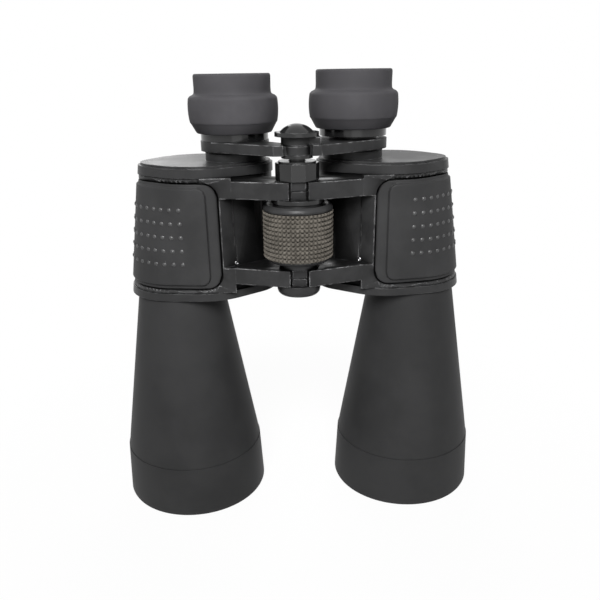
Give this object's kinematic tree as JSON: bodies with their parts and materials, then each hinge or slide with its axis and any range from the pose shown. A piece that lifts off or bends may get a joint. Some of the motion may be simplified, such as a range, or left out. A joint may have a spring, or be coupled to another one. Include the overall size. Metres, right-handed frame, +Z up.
{
  "type": "binoculars",
  "caption": "Porro-prism binoculars with flared objective barrels, folding centre hinge, ribbed focus wheel, sliding eyepiece bridge and fold-down rubber eyecups.",
  "frame": {"origin": "on the table, midway between the two objective axes", "axes": "+Z up along the optical axes towards the eyepieces, +X to the right, -Y to the side with the focus wheel"},
  "size_m": [0.189, 0.074, 0.2112],
  "materials": {
    "barrel_coat": "matte",
    "coated_glass": "polished",
    "prism_glass": "polished",
    "black_anodised": "satin",
    "cover_paint": "satin",
    "casting_paint": "satin",
    "grip_rubber": "matte",
    "eyecup_rubber": "matte",
    "wheel_rubber": "satin",
    "bare_alloy": "satin",
    "spring_steel": "satin",
    "bare_steel": "satin",
    "gloss_black": "gloss",
    "moulded_black": "satin"
  },
  "bodies": {
    "left_half": {"left_hood": "barrel_coat", "left_barrel": "barrel_coat", "left_objective_lens": "coated_glass", "left_lens_ring": "black_anodised", "left_front_cover": "cover_paint", "left_housing": "casting_paint", "left_rear_cover": "cover_paint", "left_grip_pad": "grip_rubber", "left_prism_shelf": "bare_alloy", "left_rear_prism": "prism_glass", "left_front_prism": "prism_glass", "left_prism_clips": "spring_steel", "hinge_axle": "bare_steel", "hinge_sleeve": "gloss_black", "tension_collar": "gloss_black", "end_cap": "moulded_black"},
    "right_half": {"right_hood": "barrel_coat", "right_barrel": "barrel_coat", "right_objective_lens": "coated_glass", "right_lens_ring": "black_anodised", "right_front_cover": "cover_paint", "right_housing": "casting_paint", "right_rear_cover": "cover_paint", "right_grip_pad": "grip_rubber", "right_prism_shelf": "bare_alloy", "right_rear_prism": "prism_glass", "right_front_prism": "prism_glass", "right_prism_clips": "spring_steel"},
    "focus_wheel": {"focus_wheel": "moulded_black", "focus_grip": "wheel_rubber"},
    "left_eyepiece": {"left_bridge_arm": "casting_paint", "left_eye_barrel": "black_anodised", "left_lens_tube": "black_anodised", "left_field_lens": "prism_glass", "left_eye_lens": "coated_glass", "left_neck": "gloss_black", "left_eyecup": "eyecup_rubber", "focus_shaft": "gloss_black", "bridge_cap": "gloss_black"},
    "right_bridge": {"right_bridge_arm": "casting_paint", "right_eye_barrel": "black_anodised"},
    "right_lenses": {"right_lens_tube": "black_anodised", "right_field_lens": "prism_glass", "right_eye_lens": "coated_glass"},
    "right_dioptre": {"dioptre_ring": "gloss_black", "right_eyecup": "eyecup_rubber"}
  },
  "joints": [
    {"name": "fold", "type": "hinge", "parent": "left_half", "child": "right_half", "pos_m": [0, -0.0205, 0.1432], "axis": [0, 0, -1], "range_deg": [0, 46]},
    {"name": "focus", "type": "slide", "parent": "left_half", "child": "left_eyepiece", "axis": [0, 0, 1], "range_m": [0, 0.009]},
    {"name": "wheel_turn", "type": "hinge", "parent": "left_half", "child": "focus_wheel", "pos_m": [0, -0.0205, 0.1432], "axis": [0, 0, 1], "range_deg": [0, 540]},
    {"name": "bridge_fold", "type": "hinge", "parent": "left_eyepiece", "child": "right_bridge", "pos_m": [0, -0.0205, 0.1834], "axis": [0, 0, -1], "range_deg": [0, 46]},
    {"name": "dioptre_lift", "type": "slide", "parent": "right_bridge", "child": "right_lenses", "axis": [0, 0, 1], "range_m": [-0.00115, 0.00057]},
    {"name": "dioptre_turn", "type": "hinge", "parent": "right_lenses", "child": "right_dioptre", "pos_m": [0.0275, 0.0035, 0.1818], "axis": [0, 0, 1], "range_deg": [-80, 40]}
  ],
  "couplings": [
    {"joint": "wheel_turn", "follows": "focus", "rad_per_m": 1047.2},
    {"joint": "bridge_fold", "follows": "fold", "ratio": 1},
    {"joint": "dioptre_turn", "follows": "dioptre_lift", "rad_per_m": 1214.1}
  ]
}
